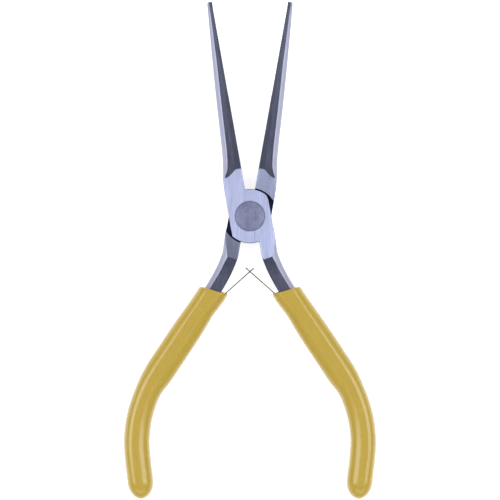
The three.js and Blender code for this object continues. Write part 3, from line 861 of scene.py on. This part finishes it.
def spring_steel():
    """Cold-rolled strip: fine grain along the strip and a faint blue to straw temper."""
    steel = Shader("spring_steel", 0.25, 1.0)
    grain = steel.noise((0.4, 0.4, 9.0), 3.0)
    temper = steel.noise((0.25, 0.25, 0.1), 1.0, offset=4)
    color = steel.mix(temper, rgb(0.16, 0.165, 0.175), rgb(0.2, 0.19, 0.175))
    color = steel.tint(color, steel.ramp(grain, 0.3, 0.7, 0.88, 1.12))
    roughness = steel.ramp(grain, 0.3, 0.7, 0.2, 0.34)
    return steel.finish(color, roughness, steel.bump(grain, 0.003))


def yellow_vinyl():
    """Dip-moulded vinyl: glossy, a little wavy, with a fine skin and faint shade changes."""
    vinyl = Shader("yellow_vinyl", 0.28, 0.0)
    vinyl.surface.inputs["Specular IOR Level"].default_value = 0.3
    vinyl.surface.inputs["Subsurface Weight"].default_value = 0.25
    vinyl.surface.inputs["Subsurface Radius"].default_value = (1.0, 0.6, 0.15)
    vinyl.surface.inputs["Subsurface Scale"].default_value = 1.2 * MM
    vinyl.surface.inputs["Coat Weight"].default_value = 1.0
    vinyl.surface.inputs["Coat Roughness"].default_value = 0.2
    wave = vinyl.noise((0.16, 0.1, 0.16), 1.0)
    cloud = vinyl.noise((0.3, 0.3, 0.3), 3.0, offset=6)
    skin = vinyl.noise((4.0, 4.0, 4.0), 3.0, offset=9)
    color = vinyl.mix(cloud, rgb(0.333, 0.235, 0.005), rgb(0.38, 0.248, 0.008))
    color = vinyl.tint(color, vinyl.ramp(skin, 0.3, 0.7, 0.97, 1.03))
    roughness = vinyl.ramp(cloud, 0.3, 0.7, 0.2, 0.28)
    return vinyl.finish(color, roughness, vinyl.bump(skin, 0.006, vinyl.bump(wave, 0.12)))


# ---------------------------------------------------------------- pieces

grip_vinyl = yellow_vinyl()
strip_steel = spring_steel()
stud_steel = rivet_steel()

# Each lever's material sets its painted cheek shade: the rear lever's cheeks are painted darker.
HALVES = [
    ("right", "front", False, tongue_leaf, forged_steel("front_steel_painted_light", 1, (1.03, 0.99))),
    ("left", "rear", True, window_leaf, forged_steel("rear_steel_painted_shade", -1, (0.365, 0.71))),
]

for side, layer, turned_over, leaf, lever_steel in HALVES:
    body = f"{layer}_half"
    piece = finish_piece(lever(), f"{layer}_lever_forging", turned_over, lever_steel)
    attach(piece, body)
    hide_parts(f"{layer}_lever")

    piece = finish_piece(grip(), f"{side}_grip_sleeve", turned_over, grip_vinyl, 60)
    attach(piece, body)
    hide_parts(f"{side}_grip")

    piece = finish_piece(leaf_rivet(), f"{side}_spring_rivet_domed", turned_over, stud_steel)
    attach(piece, body)
    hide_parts(f"{side}_spring_rivet")

    piece = finish_piece(leaf(), f"{side}_leaf_strip", turned_over, strip_steel)
    # The leaf's bend runs from just inside its sleeve to a little past halfway to the crossing; here its
    # root and the crossing are only worked out, and the leaf is left unbent.
    root = Vector(JOINTS[f"{side}_leaf_flex"]["pos_m"])
    crossing = Vector((0, 0, root.z))
    crossing.y = root.y + math.sqrt(((LEAF_CROSSING - LEAF_PIVOT).length * MM) ** 2 - root.x**2)
    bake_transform(piece)
    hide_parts(f"{side}_leaf_spring")

piece = finish_piece(pivot_rivet(), "pivot_rivet_headed", False, stud_steel)
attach(piece, "front_half")
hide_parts("pivot_rivet")

# ---------------------------------------------------------------- stage, light, camera

low, high = [Vector(corner) for corner in cad_box]
centre = (low + high) / 2


def studio_floor():
    """A white table that glows a little, as a lit sweep does."""
    floor_look = Shader("floor_white", 0.6, 0.0)
    floor_look.surface.inputs["Base Color"].default_value = rgb(0.6, 0.6, 0.6)
    floor_look.surface.inputs["Emission Color"].default_value = rgb(1.0, 1.0, 1.0)
    floor_look.surface.inputs["Emission Strength"].default_value = 0.72
    bpy.ops.mesh.primitive_plane_add(size=3, location=(0, 0, low.z))
    floor = bpy.context.object
    floor.name = "floor"
    floor.data.materials.append(floor_look.material)


def softbox(name, place, width, length, radiance):
    """A rectangular light that faces the middle of the object."""
    data = bpy.data.lights.new(name, "AREA")
    data.shape = "RECTANGLE"
    data.size, data.size_y = width, length
    data.energy = radiance * math.pi * width * length
    light = bpy.data.objects.new(name, data)
    light.location = centre + Vector(place)
    light.rotation_euler = (-Vector(place)).to_track_quat("-Z", "Y").to_euler()
    light.visible_camera = False
    bpy.context.scene.collection.objects.link(light)


def studio_world(strength):
    world = bpy.data.worlds.new("studio")
    bpy.context.scene.world = world
    world.use_nodes = True
    background = world.node_tree.nodes["Background"]
    background.inputs["Color"].default_value = rgb(1.0, 1.0, 1.0)
    background.inputs["Strength"].default_value = strength


def studio_camera():
    """Straight above, from far enough for the object's length to fill the frame."""
    lens, sensor = 150, 36
    margin = 1.006  # the frame's height over the object's length
    data = bpy.data.cameras.new("camera")
    data.lens = lens
    data.sensor_width = sensor
    camera = bpy.data.objects.new("camera", data)
    distance = (high.y - low.y) * margin * lens / sensor
    camera.location = centre + Vector((0, 0, distance))
    bpy.context.scene.collection.objects.link(camera)
    bpy.context.scene.camera = camera


studio_floor()
studio_world(0.8)
softbox("overhead", (0, 0, 1.0), 1.0, 1.0, 0.25)
for sign in (-1, 1):
    softbox(f"side_{sign}", (sign * 0.7, 0, 0.9), 0.6, 0.8, 2.9)
    softbox(f"end_{sign}", (0, sign * 1.0, 0.8), 1.4, 0.5, 1.0)
studio_camera()
bpy.context.scene.view_settings.view_transform = "Standard"
